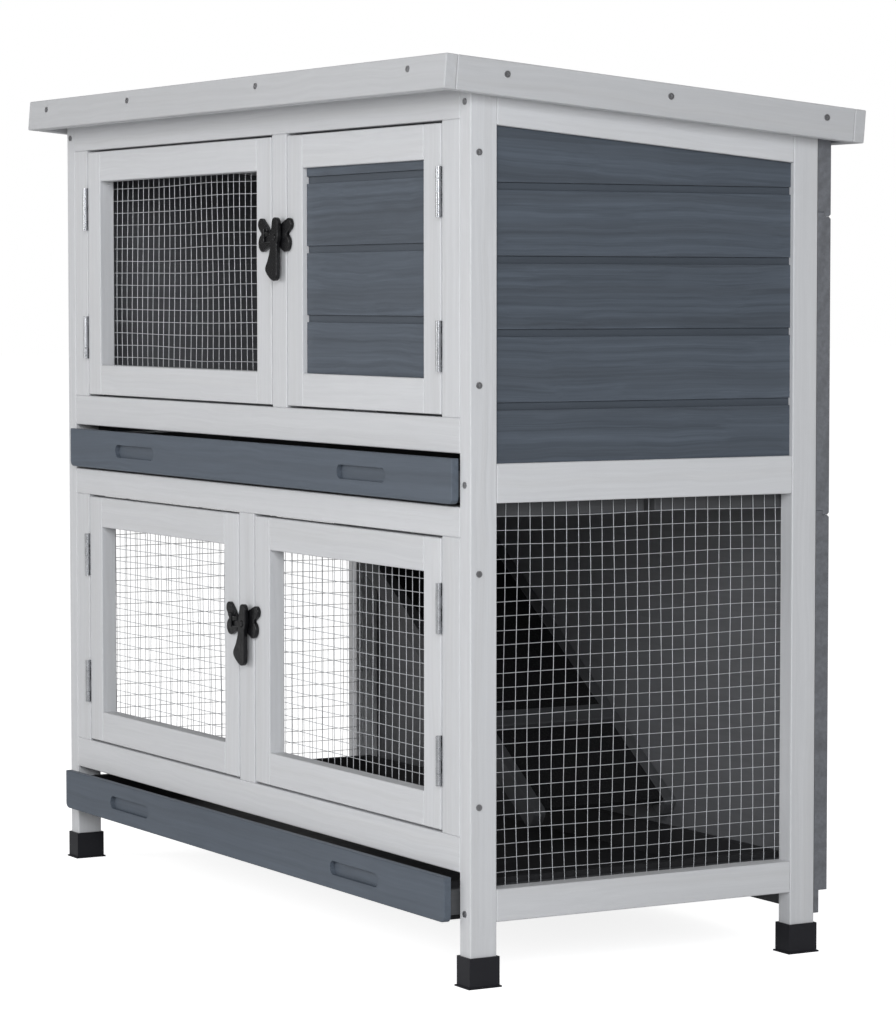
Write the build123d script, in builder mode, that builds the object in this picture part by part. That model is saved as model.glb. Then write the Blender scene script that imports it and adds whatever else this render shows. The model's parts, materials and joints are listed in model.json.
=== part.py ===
# Two-storey timber rabbit hutch with a lean-to roof, four doors, two pull-out trays and a ramp.
# Millimetres, +Z up, the front faces -Y, origin on the floor at the middle of the overall box.
import os
from math import acos, atan2, cos, radians, sin, tan

from build123d import *

os.makedirs("parts", exist_ok=True)

# ---- driving dimensions ------------------------------------------------------------
WIDTH = 867.0  # across the outer faces of the posts
DEPTH = 370.0  # front face of the front posts to back face of the rear posts
POST_W = 19.0
POST_D = 27.0
FRONT = -186.5  # y of the front face of the frame
BACK = FRONT + DEPTH
SIDE = WIDTH / 2
INNER = SIDE - POST_W

SLOPE = 4.9  # roof pitch, falling to the back
ROOF_OVER = 19.0  # at each side
ROOF_FRONT = 34.9  # overhang in front of the posts
ROOF_LEN = 447.0  # along the slope
ROOF_TOP_Z = 818.7  # at the front edge
DECK_T = 18.0
FELT_T = 1.6
FASCIA_T = 12.0
FASCIA_H = 30.6

RAIL_T = 19.0  # thickness of the fixed front members
SIDE_RAIL_T = 18.6
DOOR_T = 16.6
DOOR_STILE = 31.0
DOOR_RAIL = 31.5
GAP = 2.2  # round every door
EASE = 0.8  # eased timber edges

# heights of the front openings
UP_TOP, UP_BOT = 764.6, 503.0
TRAY_HEAD = 471.8
LOW_HEAD_TOP, LOW_TOP = 424.6, 397.6
LOW_BOT, SILL_BOT = 132.4, 101.0
# heights of the side members
SIDE_RAIL_H = 34.6
MID_TOP, MID_BOT = 463.0, 428.2
BASE_TOP, BASE_BOT = 86.5, 57.4

# door edges along the front
LEFT_HINGE_X = -SIDE + 52.6
RIGHT_HINGE_X = SIDE - 51.8
UP_MULLION = (53.0, 82.6)
LOW_MULLION = (-20.6, 11.4)

MESH_PITCH = 25.4  # every second wire of the half-inch mesh
WIRE = 1.2
HINGE_H = 45.0
HINGE_R = 2.5
PIN_R = 1.2
HINGE_OUT = 2.8
HINGE_DZ = 68.1

TRAY_BOARD_T = 7.0
TRAY_OUT_UP = 7.4
TRAY_OUT_LOW = 15.2
UP_TRAY_Z = (427.2, 467.5)
LOW_TRAY_Z = (57.0, 97.4)
TRAY_FRONT_X = SIDE - POST_W - 1.3
TRAY_BOX_X = 404.0
SLOT_L, SLOT_H, SLOT_DEEP = 94.0, 13.2, 4.6
SLOT_X = 248.0

RAMP_Y = (FRONT + 206.0, FRONT + 369.5)
RAMP_LOW = (203.5, 113.0)
RAMP_SLOPE = 34.4
FLOOR_Z = (441.0, 453.0)
STRINGER_H = 22.0
ramp_r = radians(RAMP_SLOPE)
ramp_len = (FLOOR_Z[1] - RAMP_LOW[1]) / sin(ramp_r) - 4
# the hatch runs from the head of the ramp to the right
HATCH_X = (RAMP_LOW[0] - ramp_len * cos(ramp_r) - STRINGER_H * sin(ramp_r) - 0.2, -60.0)

SLOPE_R = radians(SLOPE)
roof_plane = Plane(
    origin=(0, FRONT - ROOF_FRONT, ROOF_TOP_Z),
    x_dir=(1, 0, 0),
    z_dir=(0, sin(SLOPE_R), cos(SLOPE_R)),
)


def under(y):
    """Height of the underside of the roof deck at a given y."""
    top = ROOF_TOP_Z - tan(SLOPE_R) * (y - FRONT + ROOF_FRONT)
    return top - (DECK_T + FELT_T) / cos(SLOPE_R)


def keep(piece, label):
    """Name one finished piece and write its file."""
    piece.part.label = label
    export_step(piece.part, f"parts/{label}.step")


def middle(lo, hi):
    return tuple((a + b) / 2 for a, b in zip(lo, hi))


def blocks(label, boxes, ease=EASE):
    """A node of separate square-cut timbers, each given by two opposite corners."""
    with BuildPart() as timber:
        for lo, hi in boxes:
            with Locations(middle(lo, hi)):
                Box(*(b - a for a, b in zip(lo, hi)))
        if ease:
            chamfer(timber.edges(), ease)
    keep(timber, label)


def side_prism(label, x0, x1, outline, ease=EASE):
    """A timber cut to an outline in the side elevation (y, z), running from x0 to x1."""
    with BuildPart() as timber:
        with BuildSketch(Plane.YZ.offset(x0)):
            with BuildLine():
                Polyline(*outline, close=True)
            make_face()
        extrude(amount=x1 - x0)
        if ease:
            chamfer(timber.edges(), ease)
    keep(timber, label)


# ---- posts and feet ----------------------------------------------------------------
FOOT_WALL = 1.9
FOOT_H = 27.4
FOOT_FLOOR = 2.0
FOOT_LIP = 1.5
posts = {
    "front_left": (-SIDE, FRONT),
    "front_right": (SIDE - POST_W, FRONT),
    "rear_left": (-SIDE, BACK - POST_D),
    "rear_right": (SIDE - POST_W, BACK - POST_D),
}
for where, (px, py) in posts.items():
    profile = [
        (py, FOOT_FLOOR),
        (py + POST_D, FOOT_FLOOR),
        (py + POST_D, under(py + POST_D)),
        (py, under(py)),
    ]
    side_prism(f"post_{where}", px, px + POST_W, profile)

with BuildPart() as foot_caps:
    for px, py in posts.values():
        mx, my = px + POST_W / 2, py + POST_D / 2
        with Locations((mx, my, FOOT_H / 2)):
            Box(POST_W + 2 * FOOT_WALL, POST_D + 2 * FOOT_WALL, FOOT_H)
        with Locations((mx, my, 0.7)):
            Box(
                POST_W + 2 * FOOT_WALL + 2 * FOOT_LIP,
                POST_D + 2 * FOOT_WALL + 2 * FOOT_LIP,
                1.4,
            )
        with Locations((mx, my, FOOT_FLOOR + FOOT_H / 2)):
            Box(POST_W, POST_D, FOOT_H, mode=Mode.SUBTRACT)
keep(foot_caps, "foot_caps")

# ---- fixed front members -----------------------------------------------------------
front_back = FRONT + RAIL_T
rail_top = [
    (FRONT, UP_TOP),
    (front_back, UP_TOP),
    (front_back, under(front_back)),
    (FRONT, under(FRONT)),
]
side_prism("front_rail_top", -INNER, INNER, rail_top)
blocks(
    "front_rail_upper_sill",
    [((-INNER, FRONT, TRAY_HEAD), (INNER, front_back, UP_BOT))],
)
blocks(
    "front_rail_lower_head",
    [((-INNER, FRONT, LOW_TOP), (INNER, front_back, LOW_HEAD_TOP))],
)
blocks(
    "front_rail_lower_sill",
    [((-INNER, FRONT, SILL_BOT), (INNER, front_back, LOW_BOT))],
)
left_edge = LEFT_HINGE_X - GAP / 2
right_edge = RIGHT_HINGE_X + GAP / 2
blocks(
    "front_stiles",
    [
        ((-INNER, FRONT, UP_BOT), (left_edge, front_back, UP_TOP)),
        ((right_edge, FRONT, UP_BOT), (INNER, front_back, UP_TOP)),
        ((-INNER, FRONT, LOW_BOT), (left_edge, front_back, LOW_TOP)),
        ((right_edge, FRONT, LOW_BOT), (INNER, front_back, LOW_TOP)),
    ],
)
blocks(
    "mullions",
    [
        ((UP_MULLION[0], FRONT, UP_BOT), (UP_MULLION[1], front_back, UP_TOP)),
        ((LOW_MULLION[0], FRONT, LOW_BOT), (LOW_MULLION[1], front_back, LOW_TOP)),
    ],
)


# ---- side walls --------------------------------------------------------------------
def lattice(plane, u_wires, v_wires, u_span, v_span, label):
    """Welded wire mesh: one flat sheet of square wires with a window between each pair."""
    with BuildPart() as mesh:
        with BuildSketch(plane):
            with Locations(middle((u_span[0], v_span[0]), (u_span[1], v_span[1]))):
                Rectangle(u_span[1] - u_span[0], v_span[1] - v_span[0])
            nu, nv = len(u_wires) - 1, len(v_wires) - 1
            centre = (
                (u_wires[0] + u_wires[-1]) / 2,
                (v_wires[0] + v_wires[-1]) / 2,
            )
            du = (u_wires[-1] - u_wires[0]) / nu
            dv = (v_wires[-1] - v_wires[0]) / nv
            with Locations(centre):
                with GridLocations(du, dv, nu, nv):
                    Rectangle(du - WIRE, dv - WIRE, mode=Mode.SUBTRACT)
        extrude(amount=WIRE)
    keep(mesh, label)


def wires(first, count, pitch=MESH_PITCH):
    return [first + pitch * i for i in range(count)]


SEAM = 6.8  # width of the flat-bottomed seams between boards
SEAM_DEEP = 2.0
seams = [513.0, 577.4, 641.8, 706.2]
wall_in, wall_out = SIDE - 15.0, SIDE - 5.0
y_a, y_b = FRONT + POST_D, BACK - POST_D


def rail_under(y):
    return 759.1 - tan(SLOPE_R) * (y - y_a)


for hand, sign in (("left", -1), ("right", 1)):
    xs = sorted((sign * (SIDE - SIDE_RAIL_T), sign * SIDE))
    slope_rail = [
        (y_a, rail_under(y_a)),
        (y_b, rail_under(y_b)),
        (y_b, under(y_b)),
        (y_a, under(y_a)),
    ]
    side_prism(f"side_rail_top_{hand}", xs[0], xs[1], slope_rail)
    blocks(
        f"side_rail_mid_{hand}",
        [((xs[0], y_a, MID_BOT), (xs[1], y_b, MID_TOP))],
    )
    blocks(
        f"side_rail_base_{hand}",
        [((xs[0], y_a, BASE_BOT), (xs[1], y_b, BASE_TOP))],
    )
    # horizontal boards with sunk seams, let in between the posts
    face = sign * wall_out
    with BuildPart() as boards:
        with BuildSketch(Plane.YZ.offset(min(sign * wall_in, face))):
            with BuildLine():
                Polyline(
                    (y_a, MID_TOP),
                    (y_b, MID_TOP),
                    (y_b, rail_under(y_b)),
                    (y_a, rail_under(y_a)),
                    close=True,
                )
            make_face()
        extrude(amount=wall_out - wall_in)
        for z in seams:
            with Locations((face, (y_a + y_b) / 2, z)):
                Box(2 * SEAM_DEEP, y_b - y_a, SEAM, mode=Mode.SUBTRACT)
    keep(boards, f"side_boards_{hand}")
    mesh_x = INNER - WIRE if sign > 0 else -INNER
    lattice(
        Plane.YZ.offset(mesh_x),
        wires(FRONT + 20.6, 14),
        wires(72.4, 15),
        (FRONT + 20.0, FRONT + 351.4),
        (71.8, 428.6),
        f"side_mesh_{hand}",
    )

# ---- back wall ---------------------------------------------------------------------
WALL_T = 14.6
LIP_T = 5.3
SEAM_BACK = 4.0
b0, b1 = BACK, BACK + WALL_T
LAP_T = 7.0  # each panel laps the next one behind its inner half
LAP_H = 4.0
blocks_back = {
    "back_panel_lower": [(b0, 36.0), (b0 + LIP_T, 36.0), (b0 + LIP_T, 57.0), (b1, 57.0),
                         (b1, 407.4 - SEAM_BACK / 2), (b1 - 2, 407.3), (b0 + LAP_T, 407.3),
                         (b0 + LAP_T, 407.3 + LAP_H), (b0, 407.3 + LAP_H)],
    "back_panel_middle": [(b0, 407.5 + LAP_H), (b0 + LAP_T + 0.2, 407.5 + LAP_H),
                          (b0 + LAP_T + 0.2, 407.5), (b1 - 2, 407.5),
                          (b1, 407.4 + SEAM_BACK / 2), (b1, 683.0 - SEAM_BACK / 2),
                          (b1 - 2, 682.9), (b0 + LAP_T, 682.9), (b0 + LAP_T, 682.9 + LAP_H),
                          (b0, 682.9 + LAP_H)],
    "back_panel_upper": [(b0, 683.1 + LAP_H), (b0 + LAP_T + 0.2, 683.1 + LAP_H),
                         (b0 + LAP_T + 0.2, 683.1), (b1 - 2, 683.1),
                         (b1, 683.0 + SEAM_BACK / 2), (b1, under(b1) - 0.1),
                         (b0, under(b0) - 0.1)],
}
for label, outline in blocks_back.items():
    side_prism(label, -SIDE, SIDE, outline, ease=0)

# ---- roof --------------------------------------------------------------------------
ROOF_W = WIDTH + 2 * ROOF_OVER
with BuildPart(roof_plane) as roof_deck:
    with Locations((0, ROOF_LEN / 2, -FELT_T - DECK_T / 2)):
        Box(ROOF_W - 2 * FASCIA_T, ROOF_LEN - 2 * FASCIA_T, DECK_T)
keep(roof_deck, "roof_deck")
with BuildPart(roof_plane) as roof_felt:
    with Locations((0, ROOF_LEN / 2, -FELT_T / 2)):
        Box(ROOF_W - 2 * FASCIA_T, ROOF_LEN - 2 * FASCIA_T, FELT_T)
keep(roof_felt, "roof_felt")
fascias = {
    "fascia_front": (0, FASCIA_T / 2, ROOF_W, FASCIA_T),
    "fascia_back": (0, ROOF_LEN - FASCIA_T / 2, ROOF_W, FASCIA_T),
    "fascia_left": (-ROOF_W / 2 + FASCIA_T / 2, ROOF_LEN / 2, FASCIA_T, ROOF_LEN - 2 * FASCIA_T),
    "fascia_right": (ROOF_W / 2 - FASCIA_T / 2, ROOF_LEN / 2, FASCIA_T, ROOF_LEN - 2 * FASCIA_T),
}
for label, (fx, fy, fw, fd) in fascias.items():
    with BuildPart(roof_plane) as fascia:
        with Locations((fx, fy, -FASCIA_H / 2)):
            Box(fw, fd, FASCIA_H)
        chamfer(fascia.edges(), EASE)
    keep(fascia, label)

# ---- upper floor, runners and ramp -------------------------------------------------
beam_y = (FRONT + 194.0, FRONT + 205.0)
floor_y = (beam_y[1], BACK)
blocks(
    "upper_floor",
    [
        ((-INNER + 1.3, floor_y[0], FLOOR_Z[0]), (HATCH_X[0], floor_y[1], FLOOR_Z[1])),
        ((HATCH_X[1], floor_y[0], FLOOR_Z[0]), (INNER - 1.3, floor_y[1], FLOOR_Z[1])),
    ],
)
blocks(
    "floor_beam",
    [((-INNER + 1.3, beam_y[0], MID_BOT), (INNER - 1.3, beam_y[1], MID_TOP))],
)
run_in = INNER - 1.3
run_y = (front_back + 0.5, beam_y[0])
run_y_low = (FRONT + 27.5, BACK)
RUNNER_W = 12.0
up_rest, low_rest = UP_TRAY_Z[0] + 0.5, LOW_TRAY_Z[0] + 5.9
LEDGE_IN = 404.9  # the lower ledges reach in under the side strips of the tray
blocks(
    "tray_runners",
    [
        ((-run_in, run_y[0], 414.5), (-run_in + RUNNER_W, run_y[1], up_rest)),
        ((run_in - RUNNER_W, run_y[0], 414.5), (run_in, run_y[1], up_rest)),
        ((-run_in, run_y_low[0], 57.5), (-LEDGE_IN, run_y_low[1], low_rest)),
        ((LEDGE_IN, run_y_low[0], 57.5), (run_in, run_y_low[1], low_rest)),
        ((-run_in, beam_y[1], 414.5), (-run_in + RUNNER_W, BACK, FLOOR_Z[0])),
        ((run_in - RUNNER_W, beam_y[1], 414.5), (run_in, BACK, FLOOR_Z[0])),
    ],
)

ramp_mid_y = (RAMP_Y[0] + RAMP_Y[1]) / 2
ramp_plane = Plane(
    origin=(RAMP_LOW[0], ramp_mid_y, RAMP_LOW[1]),
    x_dir=(-cos(ramp_r), 0, sin(ramp_r)),
    z_dir=(sin(ramp_r), 0, cos(ramp_r)),
)
RAMP_W = RAMP_Y[1] - RAMP_Y[0]
STRINGER_W = 13.0
with BuildPart(ramp_plane) as ramp_stringers:
    for s in (-1, 1):
        with Locations((ramp_len / 2, s * (RAMP_W - STRINGER_W) / 2, -STRINGER_H / 2)):
            Box(ramp_len, STRINGER_W, STRINGER_H)
    low_ends = ramp_stringers.edges().filter_by(Axis.Y).group_by(Axis.X)[-2:]
    fillet([e for group in low_ends for e in group], 7)
keep(ramp_stringers, "ramp_stringers")
TREAD_T = 7.0
with BuildPart(ramp_plane) as ramp_tread:
    with Locations((ramp_len / 2 + 2, 0, -1 - TREAD_T / 2)):
        Box(ramp_len - 8, RAMP_W - 2 * STRINGER_W, TREAD_T)
keep(ramp_tread, "ramp_tread")
CLEAT_W, CLEAT_T = 23.0, 8.0
with BuildPart(ramp_plane) as ramp_cleats:
    for along in (131.0, 451.0):
        with Locations((along, 0, -1 + CLEAT_T / 2)):
            Box(CLEAT_W, RAMP_W - 2 * STRINGER_W, CLEAT_T)
    chamfer(ramp_cleats.edges().filter_by(Axis.Y), 1.0)
keep(ramp_cleats, "ramp_cleats")


# ---- hinges ------------------------------------------------------------------------
LEAF = 0.9
LEAF_D = 13.0
KNUCKLE_GAP = 0.35
KNUCKLES = 4
knuckle = (HINGE_H - (KNUCKLES - 1) * KNUCKLE_GAP) / KNUCKLES
axis_y = FRONT - HINGE_OUT


def hinge_half(hx, hz, towards, turns):
    """One leaf with its knuckles. towards is the side of the axis it lies on."""
    low = hz - HINGE_H / 2
    near = 0.2 * towards
    far = near + LEAF * towards
    with Locations((hx + (near + far) / 2, FRONT + 0.25 + LEAF_D / 2, hz)):
        Box(LEAF, LEAF_D, HINGE_H)
    for i in turns:
        z0 = low + i * (knuckle + KNUCKLE_GAP)
        with Locations((hx, axis_y, z0 + knuckle / 2)):
            Cylinder(HINGE_R, knuckle)
        with Locations((hx + (near + far) / 2, (axis_y + FRONT + 1) / 2, z0 + knuckle / 2)):
            Box(LEAF, FRONT + 1 - axis_y, knuckle)


up_mid = (UP_TOP + UP_BOT) / 2
low_mid = (LOW_TOP + LOW_BOT) / 2
hinge_sets = {
    "ul": (LEFT_HINGE_X, up_mid, 1),
    "ur": (RIGHT_HINGE_X, up_mid, -1),
    "ll": (LEFT_HINGE_X, low_mid, 1),
    "lr": (RIGHT_HINGE_X, low_mid, -1),
}
with BuildPart() as hinge_fixed:
    for hx, hz, towards in hinge_sets.values():
        for dz in (-HINGE_DZ, HINGE_DZ):
            hinge_half(hx, hz + dz, -towards, (0, 2))
            with Locations((hx, axis_y, hz + dz)):
                Cylinder(PIN_R, HINGE_H)
keep(hinge_fixed, "hinge_fixed_leaves")
for key, (hx, hz, towards) in hinge_sets.items():
    with BuildPart() as hinge_moving:
        for dz in (-HINGE_DZ, HINGE_DZ):
            hinge_half(hx, hz + dz, towards, (1, 3))
            with Locations((hx, axis_y, hz + dz)):
                Cylinder(PIN_R + 0.06, HINGE_H + 1, mode=Mode.SUBTRACT)
    keep(hinge_moving, f"hinge_leaves_{key}")


# ---- doors -------------------------------------------------------------------------
def door_frame(label, x0, x1, z0, z1):
    """Two full-height stiles with a rail between them at the top and at the bottom."""
    back = FRONT + DOOR_T
    a, b = x0 + DOOR_STILE, x1 - DOOR_STILE
    blocks(
        label,
        [
            ((x0, FRONT, z0), (a - 0.05, back, z1)),
            ((b + 0.05, FRONT, z0), (x1, back, z1)),
            ((a, FRONT, z1 - DOOR_RAIL), (b, back, z1)),
            ((a, FRONT, z0), (b, back, z0 + DOOR_RAIL)),
        ],
    )


def door_mesh(label, x0, x1, z0, z1):
    """Wire mesh stapled behind a door frame."""
    lap = 11.0
    a, b = x0 + DOOR_STILE - lap, x1 - DOOR_STILE + lap
    c, d = z0 + DOOR_RAIL - lap, z1 - DOOR_RAIL + lap
    nu, nv = int((b - a) / MESH_PITCH), int((d - c) / MESH_PITCH)
    ua, va = (a + b - nu * MESH_PITCH) / 2, (c + d - nv * MESH_PITCH) / 2
    lattice(
        Plane.XZ.offset(-(FRONT + DOOR_T + WIRE)),
        wires(ua, nu + 1),
        wires(va, nv + 1),
        (ua - WIRE / 2, ua + nu * MESH_PITCH + WIRE / 2),
        (va - WIRE / 2, va + nv * MESH_PITCH + WIRE / 2),
        label,
    )


doors = {
    "ul": (left_edge + GAP, UP_MULLION[0] - GAP, UP_BOT + GAP, UP_TOP - GAP),
    "ur": (UP_MULLION[1] + GAP, right_edge - GAP, UP_BOT + GAP, UP_TOP - GAP),
    "ll": (left_edge + GAP, LOW_MULLION[0] - GAP, LOW_BOT + GAP, LOW_TOP - GAP),
    "lr": (LOW_MULLION[1] + GAP, right_edge - GAP, LOW_BOT + GAP, LOW_TOP - GAP),
}
for key, edges in doors.items():
    door_frame(f"door_{key}_frame", *edges)
    if key != "ur":
        door_mesh(f"door_{key}_mesh", *edges)

# the upper right door is closed with horizontal boards instead of mesh
bx0, bx1, bz0, bz1 = doors["ur"]
bx0, bx1 = bx0 + DOOR_STILE + 0.1, bx1 - DOOR_STILE - 0.1
bz0, bz1 = bz0 + DOOR_RAIL + 0.1, bz1 - DOOR_RAIL - 0.1
board_face = FRONT + 5.0
with BuildPart() as door_boards:
    with Locations(((bx0 + bx1) / 2, board_face + 4.0, (bz0 + bz1) / 2)):
        Box(bx1 - bx0, 8.0, bz1 - bz0)
    for z in (588.6, 653.9, 719.2):
        with Locations(((bx0 + bx1) / 2, board_face, z)):
            Box(bx1 - bx0, 2 * SEAM_DEEP, SEAM, mode=Mode.SUBTRACT)
keep(door_boards, "door_ur_boards")

# ---- pull-out trays ----------------------------------------------------------------
PAN_WALL = 9.0
PAN_FLOOR = 4.0
tray_data = {
    "upper": (UP_TRAY_Z, TRAY_OUT_UP, beam_y[0] - TRAY_OUT_UP - 1.0),
    "lower": (LOW_TRAY_Z, TRAY_OUT_LOW, BACK - TRAY_OUT_LOW - 1.5),
}
STRIP_X = (404.1, 411.0)  # timber strips that carry the pan at its sides
STRIP_Z = (6.2, 29.0)
for which, ((tz0, tz1), out, rear) in tray_data.items():
    face = FRONT - out
    board_back = face + TRAY_BOARD_T
    with BuildPart() as tray_front:
        with BuildSketch(Plane.XZ.offset(-board_back)):
            with Locations((0, (tz0 + tz1) / 2)):
                Rectangle(2 * TRAY_FRONT_X, tz1 - tz0)
        extrude(amount=TRAY_BOARD_T)
        ends = tray_front.edges().filter_by(Axis.Y)
        fillet(ends.group_by(Axis.Z)[0], 6.0)
        chamfer(tray_front.faces().sort_by(Axis.Y)[0].edges(), EASE)
        # blind finger pulls with round ends
        with BuildSketch(Plane.XZ.offset(-face)):
            with Locations((-SLOT_X - 2, (tz0 + tz1) / 2), (SLOT_X - 3, (tz0 + tz1) / 2)):
                SlotOverall(SLOT_L, SLOT_H)
        extrude(amount=-SLOT_DEEP, mode=Mode.SUBTRACT)
        for sign in (-1, 1):
            with Locations((sign * sum(STRIP_X) / 2, (board_back + rear) / 2,
                            tz0 + sum(STRIP_Z) / 2)):
                Box(STRIP_X[1] - STRIP_X[0], rear - board_back, STRIP_Z[1] - STRIP_Z[0])
    keep(tray_front, f"tray_{which}_front")
    y0, y1 = board_back, rear
    z0, z1 = tz0 + 0.8, tz1 - 6.0
    with BuildPart() as tray_box:
        with Locations((0, (y0 + y1) / 2, (z0 + z1) / 2)):
            Box(2 * TRAY_BOX_X, y1 - y0, z1 - z0)
        with Locations((0, (y0 + y1) / 2, (z0 + z1) / 2 + PAN_FLOOR)):
            Box(2 * (TRAY_BOX_X - PAN_WALL), y1 - y0 - 2 * PAN_WALL, z1 - z0, mode=Mode.SUBTRACT)
    keep(tray_box, f"tray_{which}_box")


# ---- latches -----------------------------------------------------------------------
def lobe(c0, r0, c1, r1):
    """A tapering lobe of a casting: two round ends and the straight flanks between them."""
    for centre, radius in ((c0, r0), (c1, r1)):
        with Locations(centre):
            Circle(radius)
    dx, dz = c1[0] - c0[0], c1[1] - c0[1]
    length = (dx * dx + dz * dz) ** 0.5
    lean = acos((r0 - r1) / length)
    corners = []
    for (cx, cz), r, turn in ((c0, r0, 1), (c1, r1, 1), (c1, r1, -1), (c0, r0, -1)):
        a = atan2(dz, dx) + turn * lean
        corners.append((cx + r * cos(a), cz + r * sin(a)))
    Polygon(*corners, align=None)


PLATE_T = 3.8
LIFT = 0.5  # what reaches over the mullion stands clear of it
LEVER_T = 4.4
NOSE_T = 2.6
PIVOT_R = 3.0
CATCH_T = 1.8


def facing(out):
    """Plane parallel to the front, standing out from it, with z_dir towards the viewer."""
    return Plane.XZ.offset(-FRONT + out)


for which, mull, lz in (("upper", UP_MULLION, 667.0), ("lower", LOW_MULLION, 290.5)):
    mid = (mull[0] + mull[1]) / 2
    left, right = mull[0] - GAP - 0.4, mull[1] + GAP + 0.4
    px, pz = mid + 5.5, lz - 1.0
    # keeper on the left-hand door: two lobes and a catch that is open underneath
    catch_in = PLATE_T + 0.4 + NOSE_T + 0.4
    catch_out = catch_in + CATCH_T
    with BuildPart() as keeper:
        with BuildSketch(facing(0)):
            lobe((mid - 32, lz + 11.8), 5.9, (left - 2, lz + 1.5), 6.4)
            lobe((mid - 28.6, lz - 6.4), 8.4, (left - 1, lz - 4), 7.2)
        extrude(amount=PLATE_T)
        with Locations((left + 20, FRONT - LIFT / 2 + 0.05, lz)):
            Box(40, LIFT + 0.1, 60, mode=Mode.SUBTRACT)
        with Locations((left - 2.6, FRONT - catch_out / 2, lz + 6.2)):
            Box(5.0, catch_out, 3.6)
        with Locations((left - 0.5, FRONT - catch_in - CATCH_T / 2, lz + 1)):
            Box(5.0, CATCH_T, 14.0)
    keep(keeper, f"latch_{which}_keeper")
    # pivot plate on the right-hand door
    with BuildPart() as plate:
        with BuildSketch(facing(0)):
            lobe((px, pz + 3), 8.0, (mid + 25.4, lz + 11.2), 6.0)
            lobe((px, pz), 8.0, (mid + 18.8, lz - 6.4), 8.6)
        extrude(amount=PLATE_T)
        with Locations((right - 20, FRONT - LIFT / 2 + 0.05, lz)):
            Box(40, LIFT + 0.1, 60, mode=Mode.SUBTRACT)
        with BuildSketch(facing(PLATE_T)):
            with Locations((px, pz)):
                Circle(PIVOT_R)
        extrude(amount=LEVER_T + 1.0)
    keep(plate, f"latch_{which}_plate")
    # turning lever: bored boss, knob above, hanging boot-shaped tail, thin nose to the left
    with BuildPart() as lever:
        with BuildSketch(facing(PLATE_T + 0.4)):
            lobe((px, pz), 7.4, (mid + 6.8, lz + 12), 6.1)
            with BuildLine():
                Polyline((mid - 3.5, lz), (mid + 10.6, lz), (mid + 10.6, lz - 38))
                Spline((mid + 10.6, lz - 38), (mid + 6.5, lz - 42.3), (mid - 6.5, lz - 38.5),
                       (mid - 13.4, lz - 31), (mid - 9.5, lz - 24.5), (mid - 4.6, lz - 16),
                       (mid - 3.5, lz))
            make_face()
        extrude(amount=LEVER_T)
        with BuildSketch(facing(PLATE_T + 0.4)):
            lobe((px, pz), 4.6, (left - 3.2, lz - 3.2), 2.8)
        extrude(amount=NOSE_T)
        with BuildSketch(facing(PLATE_T + 0.2)):
            with Locations((px, pz)):
                Circle(PIVOT_R + 0.06)
        extrude(amount=LEVER_T + 2, mode=Mode.SUBTRACT)
    keep(lever, f"latch_{which}_lever")


# ---- screws ------------------------------------------------------------------------
HEAD_R, HEAD_T = 2.9, 1.0
screws = []  # plane of each head, looking outwards
for sx, sy, sz in (
    (-SIDE + 9.5, FRONT, 779.0),
    (SIDE - 9.5, FRONT, 779.0),
    (-SIDE + 9.5, FRONT, 444.5),
    (SIDE - 9.5, FRONT, 444.5),
    (-SIDE + 9.5, FRONT, 65.5),
    (SIDE - 9.5, FRONT, 65.5),
):
    screws.append(Plane(origin=(sx, sy, sz), x_dir=(1, 0, 0), z_dir=(0, -1, 0)))
for sign in (-1, 1):
    for sz in (735.0, 532.0, 366.6, 160.7):
        seat = (sign * SIDE, FRONT + 8.5, sz)
        screws.append(Plane(origin=seat, x_dir=(0, 1, 0), z_dir=(sign, 0, 0)))
    for d in (61.9, 232.0, 403.0):
        o = roof_plane.from_local_coords((sign * ROOF_W / 2, d, -11.5))
        screws.append(
            Plane(origin=o, x_dir=(0, cos(SLOPE_R), -sin(SLOPE_R)), z_dir=(sign, 0, 0))
        )
for fx in (-405.0, -200.0, 90.0, 386.0):
    o = roof_plane.from_local_coords((fx, 0, -10.6))
    screws.append(
        Plane(origin=o, x_dir=(1, 0, 0), z_dir=(0, -cos(SLOPE_R), sin(SLOPE_R)))
    )
with BuildPart() as frame_screws:
    for seat in screws:
        with BuildSketch(seat):
            Circle(HEAD_R)
        extrude(amount=HEAD_T)
        with BuildSketch(seat.offset(HEAD_T)):
            Rectangle(3.4, 0.8)
            Rectangle(0.8, 3.4)
        extrude(amount=-0.6, mode=Mode.SUBTRACT)
keep(frame_screws, "frame_screws")
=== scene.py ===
import json
import math
import random

import bmesh
import bpy
import numpy as np
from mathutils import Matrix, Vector


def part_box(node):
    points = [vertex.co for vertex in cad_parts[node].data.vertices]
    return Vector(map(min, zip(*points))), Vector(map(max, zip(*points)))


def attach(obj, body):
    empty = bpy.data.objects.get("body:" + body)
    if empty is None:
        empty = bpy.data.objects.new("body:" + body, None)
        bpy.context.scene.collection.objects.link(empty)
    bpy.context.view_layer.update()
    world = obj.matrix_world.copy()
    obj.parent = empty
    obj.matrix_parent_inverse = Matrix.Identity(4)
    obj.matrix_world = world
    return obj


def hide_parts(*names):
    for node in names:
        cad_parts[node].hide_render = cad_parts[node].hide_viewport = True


bl_info = {
    "name": "Rabbit Hutch",
    "version": (1, 0, 0),
    "blender": (4, 5, 0),
    "location": "3D View > Sidebar > Hutch",
    "description": "Builds the finished look of a two-storey timber rabbit hutch around its joinery",
    "category": "Add Mesh",
}

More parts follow.
